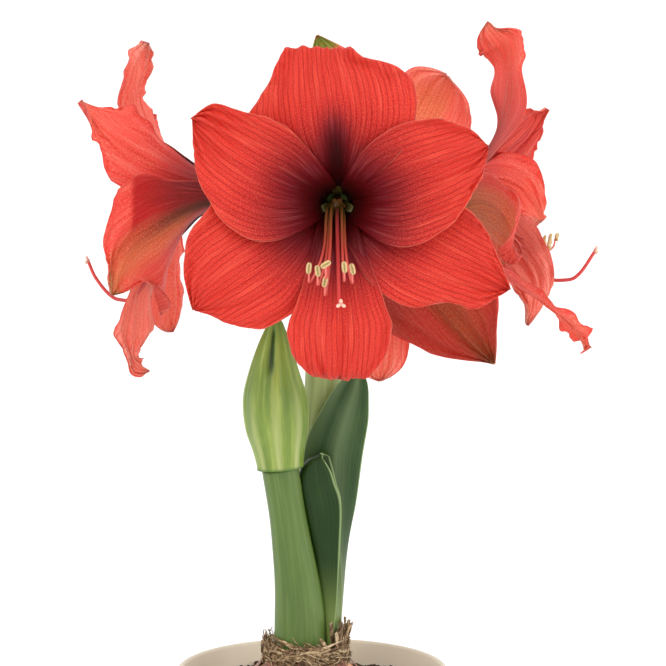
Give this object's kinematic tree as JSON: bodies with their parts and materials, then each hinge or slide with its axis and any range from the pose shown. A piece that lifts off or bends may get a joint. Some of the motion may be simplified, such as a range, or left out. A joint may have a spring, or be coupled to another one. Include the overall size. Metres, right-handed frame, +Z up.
{
  "type": "potted amaryllis in bloom",
  "caption": "Potted amaryllis: a bulb half out of dark soil in a plain round pot, with red trumpet flowers on a tall stalk, a closed bud on its own stalk, and strap leaves.",
  "frame": {"origin": "middle of the pot's flat base, which stands on the surface", "axes": "+Z up along the plant; -Y towards the front flower's mouth, the side that the picture shows"},
  "size_m": [0.3119, 0.2843, 0.5262],
  "materials": {
    "pot": "pale cream, smooth, low sheen",
    "soil": "dark crumbly potting soil",
    "bulb_skin": "smooth papery tan bulb skin",
    "dry_skin": "torn dry brown skin",
    "stalk": "green flower stalk with a pale bloom",
    "bud_stalk": "green stalk with a grey-green bloom",
    "bud": "yellow-green striped bud",
    "leaf": "dark green leaf, satin",
    "bract": "withered papery bract",
    "petal": "scarlet petal with fine veins and a dark throat",
    "stamen": "pink filaments with pale yellow anthers",
    "style": "pink style with a white stigma"
  },
  "bodies": {
    "root": {"pot": "pot", "soil": "soil", "bulb": "bulb_skin", "dry_skin_collar": "dry_skin", "flowering_stalk": "stalk", "bud_stalk": "bud_stalk", "bud": "bud", "large_leaf": "leaf", "short_leaf": "leaf", "front_bract": "bract", "back_bract": "bract", "front_flower_petals": "petal", "front_flower_stamens": "stamen", "front_flower_pistil": "style", "left_flower_petals": "petal", "left_flower_stamens": "stamen", "left_flower_pistil": "style", "right_flower_petals": "petal", "right_flower_stamens": "stamen", "right_flower_pistil": "style", "back_flower_petals": "petal", "back_flower_stamens": "stamen", "back_flower_pistil": "style"}
  },
  "joints": []
}
